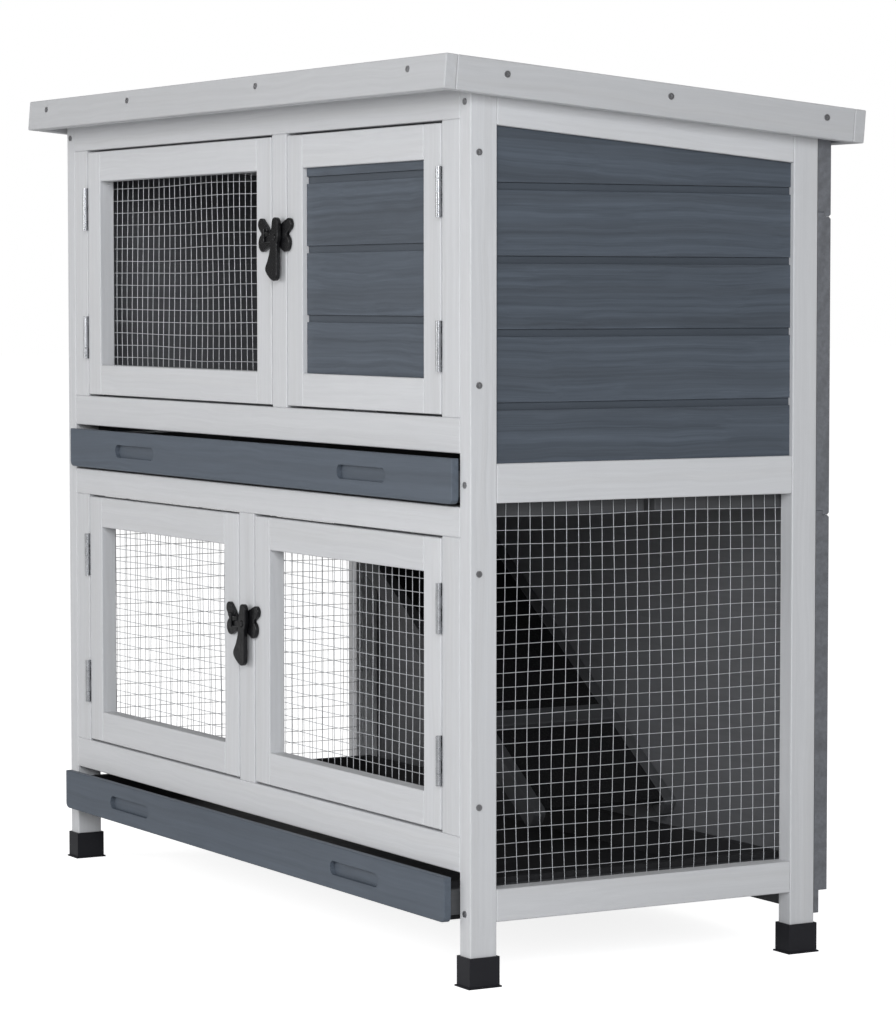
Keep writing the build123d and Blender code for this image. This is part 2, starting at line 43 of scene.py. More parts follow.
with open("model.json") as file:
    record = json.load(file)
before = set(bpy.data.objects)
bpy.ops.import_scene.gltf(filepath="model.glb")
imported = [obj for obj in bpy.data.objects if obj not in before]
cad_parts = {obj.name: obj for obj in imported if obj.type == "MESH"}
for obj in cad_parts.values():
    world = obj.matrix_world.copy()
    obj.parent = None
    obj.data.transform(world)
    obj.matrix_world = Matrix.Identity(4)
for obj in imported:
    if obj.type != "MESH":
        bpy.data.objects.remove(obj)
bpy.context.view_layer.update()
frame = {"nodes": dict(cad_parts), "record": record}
NODES = frame["nodes"]
BODY_OF = {n: b for b, ns in frame["record"]["behaviour"]["bodies"].items() for n in ns}
SLOT_OF = {s["node"]: s["material_slot"] for s in frame["record"]["subparts"]}
WELD = 2e-6  # corners closer than this are one corner
FLAT = math.radians(0.6)  # faces that meet at less than this are one flat face


# ---- settings ------------------------------------------------------------------------
class HutchFinish(bpy.types.PropertyGroup):
    """Colours of paint, wire and fittings"""

    white: bpy.props.FloatVectorProperty(
        name="White paint", description="Colour of the posts, rails and door frames",
        default=(0.715, 0.72, 0.735), subtype="COLOR", min=0, max=1)
    grey: bpy.props.FloatVectorProperty(
        name="Grey paint", description="Colour of the boards and tray fronts",
        default=(0.106, 0.127, 0.157), subtype="COLOR", min=0, max=1)
    inner: bpy.props.FloatVectorProperty(
        name="Inner paint", description="Colour of the inward faces of walls and back",
        default=(0.145, 0.148, 0.156), subtype="COLOR", min=0, max=1)
    casting: bpy.props.FloatVectorProperty(
        name="Latch enamel", description="Colour of the cast latches",
        default=(0.006, 0.006, 0.007), subtype="COLOR", min=0, max=1)
    zinc: bpy.props.FloatVectorProperty(
        name="Zinc", description="Colour of hinges and wire",
        default=(0.56, 0.57, 0.59), subtype="COLOR", min=0, max=1)
    foot: bpy.props.FloatVectorProperty(
        name="Foot caps", description="Colour of the moulded foot caps",
        default=(0.020, 0.020, 0.024), subtype="COLOR", min=0, max=1)


class HutchSizes(bpy.types.PropertyGroup):
    """Sizes of the fine work"""

    wire: bpy.props.FloatProperty(
        name="Wire", description="Diameter of the mesh wire",
        default=0.00068, unit="LENGTH", subtype="DISTANCE", min=0.0004, max=0.003)
    pitch: bpy.props.FloatProperty(
        name="Mesh pitch", description="Distance between mesh wires",
        default=0.0127, unit="LENGTH", subtype="DISTANCE", min=0.005, max=0.03)
    ease: bpy.props.FloatProperty(
        name="Rounding", description="Rounding left on timber edges by the paint",
        default=0.00035, unit="LENGTH", subtype="DISTANCE", min=0, max=0.002)
    seam: bpy.props.FloatProperty(
        name="Seam", description="Width of the sunk seam between two boards",
        default=0.0068, unit="LENGTH", subtype="DISTANCE", min=0.001, max=0.01)
    sink: bpy.props.FloatProperty(
        name="Seam depth", description="Depth of the sunk seam between two boards",
        default=0.0020, unit="LENGTH", subtype="DISTANCE", min=0.0005, max=0.005)
    lap: bpy.props.FloatProperty(
        name="Felt lap", description="Exposed depth of each strip of roofing felt",
        default=0.145, unit="LENGTH", subtype="DISTANCE", min=0.05, max=0.4)


# ---- shader groups -------------------------------------------------------------------
def new_group(name, inputs, outputs):
    """An empty shader group with named sockets. Returns group, input node and output node."""
    group = bpy.data.node_groups.new(name, "ShaderNodeTree")
    for label, kind, value in inputs:
        socket = group.interface.new_socket(label, in_out="INPUT", socket_type=kind)
        if value is not None:
            socket.default_value = value
    for label, kind in outputs:
        group.interface.new_socket(label, in_out="OUTPUT", socket_type=kind)
    return group, group.nodes.new("NodeGroupInput"), group.nodes.new("NodeGroupOutput")


def add(tree, kind, links=None, **values):
    """A node with its properties set. links maps an input to a socket or a plain value."""
    node = tree.nodes.new(kind)
    for key, value in values.items():
        setattr(node, key, value)
    for key, source in (links or {}).items():
        if isinstance(source, bpy.types.NodeSocket):
            tree.links.new(source, node.inputs[key])
        else:
            node.inputs[key].default_value = source
    return node


def ramp(tree, source, stops):
    """A grey ramp over (position, value) stops."""
    node = add(tree, "ShaderNodeValToRGB", {"Fac": source})
    band = node.color_ramp
    while len(band.elements) < len(stops):
        band.elements.new(0.5)
    for element, (at, value) in zip(band.elements, stops):
        element.position = at
        element.color = (value, value, value, 1)
    return node.outputs["Color"]


def grain_group():
    """Softwood grain under paint, running along the first axis of its vector."""
    group, start, end = new_group(
        "Grain",
        [("Vector", "NodeSocketVector", None), ("Along", "NodeSocketFloat", 3.0),
         ("Across", "NodeSocketFloat", 160.0)],
        [("Streaks", "NodeSocketFloat"), ("Fibres", "NodeSocketFloat"), ("Knots", "NodeSocketFloat"),
         ("Rings", "NodeSocketFloat")],
    )
    vector, along, across = (start.outputs[k] for k in ("Vector", "Along", "Across"))
    stretch = add(group, "ShaderNodeCombineXYZ", {"X": along, "Y": across, "Z": across})
    wander = add(group, "ShaderNodeTexNoise", {"Vector": vector, "Scale": 9.0, "Detail": 2.0})
    shift = add(group, "ShaderNodeVectorMath", {0: wander.outputs["Color"], 1: (0.0, 0.012, 0.012)},
                operation="MULTIPLY")
    moved = add(group, "ShaderNodeVectorMath", {0: vector, 1: shift.outputs[0]}, operation="ADD")
    long = add(group, "ShaderNodeVectorMath", {0: moved.outputs[0], 1: stretch.outputs[0]},
               operation="MULTIPLY")
    streaks = add(group, "ShaderNodeTexNoise",
                  {"Vector": long.outputs[0], "Scale": 1.0, "Detail": 4.0, "Roughness": 0.6})
    fine = add(group, "ShaderNodeVectorMath", {0: long.outputs[0], 1: (2.5, 4.5, 4.5)},
               operation="MULTIPLY")
    fibres = add(group, "ShaderNodeTexNoise",
                 {"Vector": fine.outputs[0], "Scale": 1.0, "Detail": 3.0, "Roughness": 0.55})
    squeeze = add(group, "ShaderNodeVectorMath", {0: moved.outputs[0], 1: (2.6, 7.5, 7.5)},
                  operation="MULTIPLY")
    cells = add(group, "ShaderNodeTexVoronoi", {"Vector": squeeze.outputs[0], "Scale": 1.0})
    knots = ramp(group, cells.outputs["Distance"], [(0.0, 1.0), (0.035, 0.8), (0.085, 0.0)])
    bowed = add(group, "ShaderNodeVectorMath", {0: moved.outputs[0], 1: (1.6, 26.0, 26.0)},
                operation="MULTIPLY")
    waves = add(group, "ShaderNodeTexWave",
                {"Vector": bowed.outputs[0], "Scale": 0.55, "Distortion": 9.0, "Detail": 2.0,
                 "Detail Scale": 0.8}, wave_type="RINGS")
    rings = ramp(group, waves.outputs["Fac"], [(0.55, 0.0), (0.95, 1.0)])
    group.links.new(rings, end.inputs["Rings"])
    group.links.new(streaks.outputs["Fac"], end.inputs["Streaks"])
    group.links.new(fibres.outputs["Fac"], end.inputs["Fibres"])
    group.links.new(knots, end.inputs["Knots"])
    return group


def wear_group():
    """Broad rubs and small specks of a surface that has been handled."""
    group, start, end = new_group(
        "Wear",
        [("Vector", "NodeSocketVector", None), ("Scale", "NodeSocketFloat", 60.0)],
        [("Rub", "NodeSocketFloat"), ("Speck", "NodeSocketFloat")],
    )
    speck = add(group, "ShaderNodeTexNoise",
                {"Vector": start.outputs["Vector"], "Scale": start.outputs["Scale"], "Detail": 5.0})
    broad = add(group, "ShaderNodeTexNoise",
                {"Vector": start.outputs["Vector"], "Scale": 7.0, "Detail": 3.0})
    group.links.new(ramp(group, broad.outputs["Fac"], [(0.35, 0.0), (0.7, 1.0)]), end.inputs["Rub"])
    group.links.new(ramp(group, speck.outputs["Fac"], [(0.58, 0.0), (0.72, 1.0)]), end.inputs["Speck"])
    return group


def mottle_group():
    """Fine and broad blotches for metal, plastic and felt."""
    group, start, end = new_group(
        "Mottle",
        [("Vector", "NodeSocketVector", None), ("Fine", "NodeSocketFloat", 900.0),
         ("Broad", "NodeSocketFloat", 30.0)],
        [("Fine", "NodeSocketFloat"), ("Broad", "NodeSocketFloat"), ("Grit", "NodeSocketFloat")],
    )
    vector = start.outputs["Vector"]
    fine = add(group, "ShaderNodeTexNoise",
               {"Vector": vector, "Scale": start.outputs["Fine"], "Detail": 3.0})
    broad = add(group, "ShaderNodeTexNoise",
                {"Vector": vector, "Scale": start.outputs["Broad"], "Detail": 5.0})
    grit = add(group, "ShaderNodeTexVoronoi", {"Vector": vector, "Scale": start.outputs["Fine"]})
    group.links.new(fine.outputs["Fac"], end.inputs["Fine"])
    group.links.new(broad.outputs["Fac"], end.inputs["Broad"])
    group.links.new(grit.outputs["Distance"], end.inputs["Grit"])
    return group


GROUPS = {}


def use_group(tree, name, links):
    """A shader group in a material's tree. Each group is built once."""
    builders = {"Grain": grain_group, "Wear": wear_group, "Mottle": mottle_group}
    if name not in GROUPS:
        GROUPS[name] = builders[name]()
    node = add(tree, "ShaderNodeGroup", node_tree=GROUPS[name])
    for key, source in links.items():
        if isinstance(source, bpy.types.NodeSocket):
            tree.links.new(source, node.inputs[key])
        else:
            node.inputs[key].default_value = source
    return node


# ---- materials -----------------------------------------------------------------------
def blank(name, roughness, metallic=0.0, coat=0.0, specular=0.5):
    material = bpy.data.materials.new(name)
    material.use_nodes = True
    tree = material.node_tree
    shader = tree.nodes["Principled BSDF"]
    shader.inputs["Roughness"].default_value = roughness
    shader.inputs["Metallic"].default_value = metallic
    shader.inputs["Coat Weight"].default_value = coat
    shader.inputs["Specular IOR Level"].default_value = specular
    return material, tree, shader


def mix(tree, factor, a, b, mode="MIX"):
    """Colour mix of two sockets or plain colours."""
    node = add(tree, "ShaderNodeMix", data_type="RGBA", blend_type=mode)
    for index, source in ((0, factor), (6, a), (7, b)):
        if isinstance(source, bpy.types.NodeSocket):
            tree.links.new(source, node.inputs[index])
        else:
            node.inputs[index].default_value = source if index == 0 else (*source[:3], 1)
    return node.outputs[2]


def sum_of(tree, *terms):
    """Weighted sum of (socket, weight) pairs."""
    total = None
    for socket, weight in terms:
        part = add(tree, "ShaderNodeMath", {0: socket, 1: weight}, operation="MULTIPLY").outputs[0]
        if total is None:
            total = part
        else:
            total = add(tree, "ShaderNodeMath", {0: total, 1: part}, operation="ADD").outputs[0]
    return total


def bump(tree, shader, height, distance):
    """Surface relief on a shader, distance metres deep."""
    node = add(tree, "ShaderNodeBump", {"Height": height, "Distance": distance, "Strength": 1.0})
    tree.links.new(node.outputs["Normal"], shader.inputs["Normal"])


def shade(colour, factor):
    """A colour made darker or lighter."""
    return tuple(c * factor for c in colour)


def painted_timber(name, colour, streak, wood, depth, rough=0.34, grain_scale=230.0):
    """Brushed paint over softwood. streak is how much the grain shows through."""
    material, tree, shader = blank(name, 0.5, specular=0.35)
    along = add(tree, "ShaderNodeAttribute", attribute_name="grain").outputs["Vector"]
    tone = add(tree, "ShaderNodeAttribute", attribute_name="tone").outputs["Fac"]
    grain = use_group(tree, "Grain", {"Vector": along, "Along": 2.2, "Across": grain_scale})
    wear = use_group(tree, "Wear", {"Vector": along, "Scale": 90.0})
    lines = ramp(tree, grain.outputs["Streaks"], [(0.30, 0.0), (0.70, 1.0)])
    base = mix(tree, lines, shade(colour, 1 - streak), shade(colour, 1 + streak * 0.35))
    fine = ramp(tree, grain.outputs["Fibres"], [(0.36, 1.0), (0.62, 0.0)])
    fine = add(tree, "ShaderNodeMath", {0: fine, 1: streak * 0.8}, operation="MULTIPLY")
    base = mix(tree, fine.outputs[0], base, shade(colour, 0.62))
    rings = add(tree, "ShaderNodeMath", {0: grain.outputs["Rings"], 1: streak * 0.9},
                operation="MULTIPLY")
    base = mix(tree, rings.outputs[0], base, shade(wood, 0.85))
    board = mix(tree, tone, shade((1, 1, 1), 0.95), (1, 1, 1))
    base = mix(tree, 1.0, base, board, "MULTIPLY")
    dirt = add(tree, "ShaderNodeMath", {0: wear.outputs["Rub"], 1: 0.07}, operation="MULTIPLY")
    base = mix(tree, dirt.outputs[0], base, shade(colour, 0.84))
    knot = add(tree, "ShaderNodeMath", {0: grain.outputs["Knots"], 1: streak * 1.3},
               operation="MULTIPLY")
    base = mix(tree, knot.outputs[0], base, shade(wood, 0.8))
    tree.links.new(base, shader.inputs["Base Color"])
    value = sum_of(tree, (grain.outputs["Fibres"], 0.22), (wear.outputs["Rub"], 0.12))
    value = add(tree, "ShaderNodeMath", {0: value, 1: rough}, operation="ADD").outputs[0]
    tree.links.new(value, shader.inputs["Roughness"])
    height = sum_of(tree, (grain.outputs["Streaks"], 1.0), (grain.outputs["Fibres"], 0.5),
                    (grain.outputs["Knots"], 0.6), (grain.outputs["Rings"], 0.4))
    bump(tree, shader, height, depth)
    return material


def metal(name, colour, rough, metallic=1.0, coat=0.0, dents=0.00012, fine=900.0, spread=0.25,
          specular=0.5):
    """Metal, enamel or moulded plastic with fine and broad mottling and scattered flecks."""
    material, tree, shader = blank(name, rough, metallic, coat, specular)
    place = add(tree, "ShaderNodeTexCoord").outputs["Object"]
    mottle = use_group(tree, "Mottle", {"Vector": place, "Fine": fine, "Broad": 60.0})
    wear = use_group(tree, "Wear", {"Vector": place, "Scale": 300.0})
    base = mix(tree, mottle.outputs["Broad"], shade(colour, 1 - spread),
               shade(colour, 1 + spread * 0.6))
    fleck = add(tree, "ShaderNodeMath", {0: wear.outputs["Speck"], 1: 0.35}, operation="MULTIPLY")
    other = shade(colour, 1.5 if max(colour) < 0.6 else 0.6)
    base = mix(tree, fleck.outputs[0], base, other)
    tree.links.new(base, shader.inputs["Base Color"])
    value = sum_of(tree, (mottle.outputs["Broad"], 0.25), (mottle.outputs["Fine"], 0.12))
    value = add(tree, "ShaderNodeMath", {0: value, 1: rough - 0.18}, operation="ADD").outputs[0]
    tree.links.new(value, shader.inputs["Roughness"])
    height = sum_of(tree, (mottle.outputs["Fine"], 0.4), (mottle.outputs["Broad"], 1.0))
    bump(tree, shader, height, dents)
    return material


def gritty(name, colour, fleck, depth, fine=700.0, rough=0.9):
    """Mineral felt: dark ground with lighter grains standing out of it."""
    material, tree, shader = blank(name, rough, specular=0.25)
    place = add(tree, "ShaderNodeTexCoord").outputs["Object"]
    mottle = use_group(tree, "Mottle", {"Vector": place, "Fine": fine, "Broad": 14.0})
    grains = ramp(tree, mottle.outputs["Grit"], [(0.15, 1.0), (0.5, 0.0)])
    some = ramp(tree, mottle.outputs["Fine"], [(0.45, 0.0), (0.62, 1.0)])
    mask = add(tree, "ShaderNodeMath", {0: grains, 1: some}, operation="MULTIPLY").outputs[0]
    ground = mix(tree, mottle.outputs["Broad"], shade(colour, 0.7), shade(colour, 1.3))
    tree.links.new(mix(tree, mask, ground, fleck), shader.inputs["Base Color"])
    bump(tree, shader, sum_of(tree, (grains, 1.0), (mottle.outputs["Broad"], 0.8)), depth)
    return material


MATERIALS = {}


def material_for(name):
    """Each finish is made once, when it is first asked for."""
    if name in MATERIALS:
        return MATERIALS[name]
    look = bpy.context.scene.hutch_finish
    white, grey, zinc = tuple(look.white), tuple(look.grey), tuple(look.zinc)
    makers = {
        "white_timber": lambda: painted_timber("White painted timber", white, 0.060,
                                               (0.60, 0.57, 0.52), 0.00022),
        # the fascias are drawn in the white at 84 %, darker than the other white timber
        "white_trim": lambda: painted_timber("White painted roof trim", shade(white, 0.84), 0.060,
                                             (0.50, 0.47, 0.42), 0.00022),
        "grey_timber": lambda: painted_timber("Grey painted timber", grey, 0.34,
                                              (0.075, 0.086, 0.102), 0.0003),
        "grey_smooth": lambda: painted_timber("Grey painted tray front", shade(grey, 1.06), 0.16,
                                              (0.085, 0.098, 0.118), 0.00012),
        "grey_inner": lambda: painted_timber("Grey satin inner face", tuple(look.inner), 0.10,
                                             (0.09, 0.092, 0.098), 0.00015, rough=0.22),
        # seam floors: the grey paint at 72 %, painted shade in the sunk seams
        "grey_seam_painted_shade": lambda: painted_timber("Grey seam floor in painted shade", shade(grey, 0.72), 0.12,
                                            (0.06, 0.068, 0.08), 0.0001),
        # the inner paint at 55 %: painted shade on joinery that stands in shadow within the hutch
        "grey_painted_shade": lambda: painted_timber("Grey inner joinery in painted shade", shade(tuple(look.inner), 0.55), 0.14,
                                           (0.04, 0.041, 0.043), 0.0002, rough=0.30),
        "grey_edge": lambda: painted_timber("Grey washed board edge", (0.200, 0.207, 0.225), 0.22,
                                            (0.10, 0.10, 0.105), 0.0003),
        "hinge": lambda: metal("Zinc plated hinge", shade(zinc, 0.85), 0.26),
        "wire": lambda: metal("Galvanised wire", shade(zinc, 1.2), 0.42, metallic=0.45, dents=0.00005,
                              fine=1500.0),
        "screw": lambda: metal("Screw steel", (0.34, 0.34, 0.35), 0.36, metallic=0.9),
        "cast_black": lambda: metal("Black enamel casting", tuple(look.casting), 0.22, metallic=0.0,
                                    dents=0.0007, fine=220.0, specular=0.35),
        "foot": lambda: metal("Moulded foot cap", tuple(look.foot), 0.42, metallic=0.0, dents=0.00003,
                              fine=1600.0, spread=0.10, specular=0.22),
        "tray_black": lambda: metal("Black tray", (0.022, 0.022, 0.024), 0.55, metallic=0.0,
                                    dents=0.0001, fine=1200.0, specular=0.3),
        "felt": lambda: gritty("Roofing felt", (0.030, 0.032, 0.034), (0.16, 0.165, 0.17), 0.0005),
        "tread": lambda: gritty("Ramp tread felt", (0.009, 0.009, 0.010), (0.035, 0.035, 0.037), 0.0004),
    }
    MATERIALS[name] = makers[name]()
    return MATERIALS[name]


# ---- mesh helpers --------------------------------------------------------------------
def put(name, mesh, body, finish, nodes=(), bevel=0.0):
    """Link a mesh as a piece on a body, give it its finish and hide the nodes it replaces."""
    piece = bpy.data.objects.new(name, mesh)
    bpy.context.scene.collection.objects.link(piece)
    mesh.materials.append(material_for(finish))
    for polygon in mesh.polygons:
        polygon.use_smooth = True
    if bevel:
        edge = piece.modifiers.new("Rounding", "BEVEL")
        edge.width = bevel
        edge.segments = 2
        edge.limit_method = "ANGLE"
        edge.angle_limit = math.radians(28)
        edge.harden_normals = True
    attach(piece, body)
    if nodes:
        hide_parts(*nodes)
    return piece


def solids_in(node):
    """The separate solids of a node: (corner array, faces as index lists), flats made whole."""
    work = bmesh.new()
    work.from_mesh(NODES[node].data)
    bmesh.ops.remove_doubles(work, verts=work.verts, dist=WELD)
    bmesh.ops.dissolve_limit(work, angle_limit=FLAT, verts=work.verts, edges=work.edges)
    work.verts.ensure_lookup_table()
    seen, found = set(), []
    for seed in work.verts:
        if seed.index in seen:
            continue
        stack, island = [seed], []
        seen.add(seed.index)
        while stack:
            vert = stack.pop()
            island.append(vert)
            for edge in vert.link_edges:
                other = edge.other_vert(vert)
                if other.index not in seen:
                    seen.add(other.index)
                    stack.append(other)
        if len(island) < 4:
            continue
        order = {v.index: i for i, v in enumerate(island)}
        faces = {f for v in island for f in v.link_faces}
        rows = sorted([order[v.index] for v in f.verts] for f in faces)
        found.append((np.array([v.co[:] for v in island]), rows))
    work.free()
    found.sort(key=lambda item: tuple(item[0].min(0).round(5)))
    return found


def long_axis(points):
    """Unit vectors along, across and through a board, from the spread of its corners."""
    spread = points - points.mean(0)
    _, _, rows = np.linalg.svd(spread, full_matrices=False)
    along = rows[0] * (1 if rows[0][np.argmax(abs(rows[0]))] > 0 else -1)
    return along, rows[1], np.cross(along, rows[1])


def timber_mesh(name, solids, rng):
    """One mesh of several boards, each with its own run of grain and its own tone."""
    points, faces, grain, tone = [], [], [], []
    for corners, rows in solids:
        base = len(points)
        axes = np.array(long_axis(corners))
        shift = np.array([rng.uniform(0, 9) for _ in range(3)])
        level = rng.uniform(0, 1)
        points += [tuple(p) for p in corners]
        grain += [tuple(axes @ p + shift) for p in corners]
        tone += [level] * len(corners)
        faces += [[base + i for i in row] for row in rows]
    mesh = bpy.data.meshes.new(name)
    mesh.from_pydata(points, [], faces)
    store(mesh, grain, tone)
    mesh.validate()
    return mesh


def store(mesh, grain, tone):
    """Grain direction and board tone, kept on the corners for the finish to read."""
    field = mesh.attributes.new("grain", "FLOAT_VECTOR", "POINT")
    field.data.foreach_set("vector", [c for p in grain for c in p])
    level = mesh.attributes.new("tone", "FLOAT", "POINT")
    level.data.foreach_set("value", tone)


def timber(node, rng, finish=None):
    """Finished timber for a whole node, cut along its own boards."""
    mesh = timber_mesh(f"{node}_timber", solids_in(node), rng)
    sizes = bpy.context.scene.hutch_sizes
    return put(mesh.name, mesh, BODY_OF[node], finish or SLOT_OF[node], (node,), sizes.ease)


def second_finish(piece, finish, wanted):
    """Another finish on every face for which wanted(normal, centre) holds."""
    piece.data.materials.append(material_for(finish))
    index = len(piece.data.materials) - 1
    for polygon in piece.data.polygons:
        if wanted(polygon.normal, polygon.center):
            polygon.material_index = index


def prism(outline, axis, lo, hi):
    """Corners and faces of a closed outline pushed along an axis (0 = x, 1 = y, 2 = z)."""
    others = [i for i in range(3) if i != axis]
    corners = []
    for level in (lo, hi):
        for a, b in outline:
            p = [0.0, 0.0, 0.0]
            p[axis], p[others[0]], p[others[1]] = level, a, b
            corners.append(p)
    n = len(outline)
    rows = [[(i + 1) % n, i, n + i, n + (i + 1) % n] for i in range(n)]
    rows += [list(range(n)), [2 * n - 1 - i for i in range(n)]]
    return np.array(corners), rows


def seamed_board(z0, z1, half, face, sunk, back):
    """Outline of a board whose tongue reaches up behind the sunk seam at height z1."""
    tongue = z1 + half - 0.0001
    return [(back, z0), (face, z0), (face, z1 - half), (sunk, z1 - half), (sunk, tongue),
            (back, tongue)]


def facing_out(mesh):
    """Turn every face of a mesh outwards."""
    work = bmesh.new()
    work.from_mesh(mesh)
    bmesh.ops.recalc_face_normals(work, faces=work.faces)
    work.to_mesh(mesh)
    work.free()


# ---- wire ----------------------------------------------------------------------------
def wire_sheet(name, node, across, up, out, rng):
    """Welded mesh: two layers of slightly bowed round wires filling a node's box."""
    sizes = bpy.context.scene.hutch_sizes
    lo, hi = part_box(node)
    radius = sizes.wire / 2
    middle = (lo[out] + hi[out]) / 2
    spans = {across: (lo[across], hi[across]), up: (lo[up], hi[up])}
    step = sizes.pitch / 2
    lean_most, sway, sway_rate = 0.00025, 0.00022, 34
    points, faces = [], []
    sides = 6
    waves = [(rng.uniform(8, 30), rng.uniform(8, 30), rng.uniform(0, 6.3), rng.uniform(0.00015, 0.00045))
             for _ in range(5)]

    def drift(a, b):
        """How far the sheet wanders off true at a place."""
        return sum(h * math.sin(a * p + b * q + r) for p, q, r, h in waves)

    for run, other, layer in ((across, up, -radius), (up, across, radius)):
        count = int(round((spans[other][1] - spans[other][0] - 0.001) / sizes.pitch)) + 1
        first = (sum(spans[other]) - (count - 1) * sizes.pitch) / 2
        n = int((spans[run][1] - spans[run][0]) / step) + 1
        for k in range(count):
            at = first + k * sizes.pitch
            lean = rng.uniform(-lean_most, lean_most)
            kink = rng.uniform(0, 6.3)
            base = len(points)
            for i in range(n + 1):
                along = spans[run][0] + (spans[run][1] - spans[run][0]) * i / n
                side = at + lean + sway * math.sin(along * sway_rate + kink) + drift(along, at)
                side = min(max(side, spans[other][0] + radius), spans[other][1] - radius)
                depth = middle + layer * 0.9 + 0.8 * drift(at + 3, along)
                for j in range(sides):
                    turn = 2 * math.pi * j / sides
                    p = [0.0, 0.0, 0.0]
                    p[run] = along
                    p[other] = side + radius * math.cos(turn)
                    p[out] = depth + radius * math.sin(turn)
                    points.append(p)
            for i in range(n):
                for j in range(sides):
                    a, b = base + i * sides + j, base + i * sides + (j + 1) % sides
                    faces.append([a, b, b + sides, a + sides])
            faces.append([base + j for j in range(sides)])
            faces.append([base + n * sides + sides - 1 - j for j in range(sides)])
    mesh = bpy.data.meshes.new(name)
    mesh.from_pydata(points, [], faces)
    facing_out(mesh)
    return put(name, mesh, BODY_OF[node], "wire", (node,))


# ---- operators -----------------------------------------------------------------------
class HUTCH_OT_frame(bpy.types.Operator):
    """Posts, rails, stiles, mullions, fascias and inner timbers"""

    bl_idname = "hutch.frame"
    bl_label = "Frame timbers"
    bl_options = {"REGISTER", "UNDO"}

    def execute(self, context):
        rng = random.Random(11)
        skip = ("side_boards", "back_panel")
        # ramp, runners, beam and upper floor take the darker grey: painted shade
        inside = ("ramp_", "tray_runners", "floor_beam", "upper_floor")
        for node, slot in SLOT_OF.items():
            if slot in ("white_timber", "grey_timber") and BODY_OF[node] == "frame":
                if not node.startswith(skip):
                    finish = "white_trim" if node.startswith("fascia") else None
                    timber(node, rng, "grey_painted_shade" if node.startswith(inside) else finish)
        return {"FINISHED"}


class HUTCH_OT_walls(bpy.types.Operator):
    """Horizontal boards with sunk seams on the sides, and the panelled back"""

    bl_idname = "hutch.walls"
    bl_label = "Boarded walls"
    bl_options = {"REGISTER", "UNDO"}

    def execute(self, context):
        sizes = context.scene.hutch_sizes
        rng = random.Random(23)
        half = sizes.seam / 2
        lowest, cover = 0.050, 0.0644  # height of the lowest board and of each board above it
        for hand, sign in (("left", -1), ("right", 1)):
            node = f"side_boards_{hand}"
            lo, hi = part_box(node)
            corners = solids_in(node)[0][0]
            rear = corners[corners[:, 1] > hi.y - 1e-4][:, 2].max()  # top of the sloping end
            face, back = (hi.x, lo.x) if sign > 0 else (lo.x, hi.x)
            sunk = face - sign * sizes.sink
            seams = [lo.z - half] + [lo.z + lowest + cover * i for i in range(4)]
            solids = []
            for low, high in zip(seams, seams[1:]):
                outline = seamed_board(low + half, high, half, face, sunk, back)
                solids.append(prism(outline, 1, lo.y, hi.y))
            z0 = seams[-1] + half
            outline = [(back, z0), (face, z0), (face, hi.z), (back, hi.z)]
            shape, rows = prism(outline, 1, lo.y, hi.y)
            for p in shape:
                if p[2] > hi.z - WELD and p[1] > hi.y - WELD:
                    p[2] = rear
            solids.append((shape, rows))
            mesh = timber_mesh(f"side_wall_{hand}", solids, rng)
            facing_out(mesh)
            piece = put(mesh.name, mesh, "frame", "grey_timber", (node,), sizes.ease)
            second_finish(piece, "grey_inner", lambda n, c: n.x * sign < -0.7)
            # the seam floors take the darker grey: painted shade in the sunk seams
            second_finish(piece, "grey_seam_painted_shade", lambda n, c: abs(c.x - sunk) < 0.0002)
        for node in ("back_panel_lower", "back_panel_middle", "back_panel_upper"):
            piece = timber(node, rng)
            second_finish(piece, "grey_inner", lambda n, c: n.y < -0.7)
            second_finish(piece, "grey_edge", lambda n, c: abs(n.x) > 0.7)
        return {"FINISHED"}


class HUTCH_OT_doors(bpy.types.Operator):
    """Four door frames and the boards of the closed one"""

    bl_idname = "hutch.doors"
    bl_label = "Doors"
    bl_options = {"REGISTER", "UNDO"}

    def execute(self, context):
        sizes = context.scene.hutch_sizes
        rng = random.Random(37)
        for key in ("ul", "ur", "ll", "lr"):
            timber(f"door_{key}_frame", rng)
        node = "door_ur_boards"
        lo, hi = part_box(node)
        half = sizes.seam / 2
        sunk = lo.y + sizes.sink
        seams = [lo.z - half, 0.5886, 0.6539, 0.7192]  # foot of the boarding, then its seams
        solids = []
        for low, high in zip(seams, seams[1:]):
            outline = seamed_board(low + half, high, half, lo.y, sunk, hi.y)
            solids.append(prism(outline, 0, lo.x, hi.x))
        z0 = seams[-1] + half
        outline = [(hi.y, z0), (lo.y, z0), (lo.y, hi.z), (hi.y, hi.z)]
        solids.append(prism(outline, 0, lo.x, hi.x))
        mesh = timber_mesh("door_ur_boarding", solids, rng)
        facing_out(mesh)
        piece = put(mesh.name, mesh, "door_ur", "grey_timber", (node,), sizes.ease)
        second_finish(piece, "grey_inner", lambda n, c: n.y > 0.7)
        # the seam floors take the darker grey: painted shade in the sunk seams
        second_finish(piece, "grey_seam_painted_shade", lambda n, c: abs(c.y - sunk) < 0.0002)
        return {"FINISHED"}


class HUTCH_OT_wire(bpy.types.Operator):
    """Galvanised welded mesh on the sides and in the doors"""

    bl_idname = "hutch.wire"
    bl_label = "Wire mesh"
    bl_options = {"REGISTER", "UNDO"}

    def execute(self, context):
        rng = random.Random(5)
        for hand in ("left", "right"):
            wire_sheet(f"side_wire_{hand}", f"side_mesh_{hand}", 1, 2, 0, rng)
        for key in ("ul", "ll", "lr"):
            wire_sheet(f"door_{key}_wire", f"door_{key}_mesh", 0, 2, 1, rng)
        return {"FINISHED"}


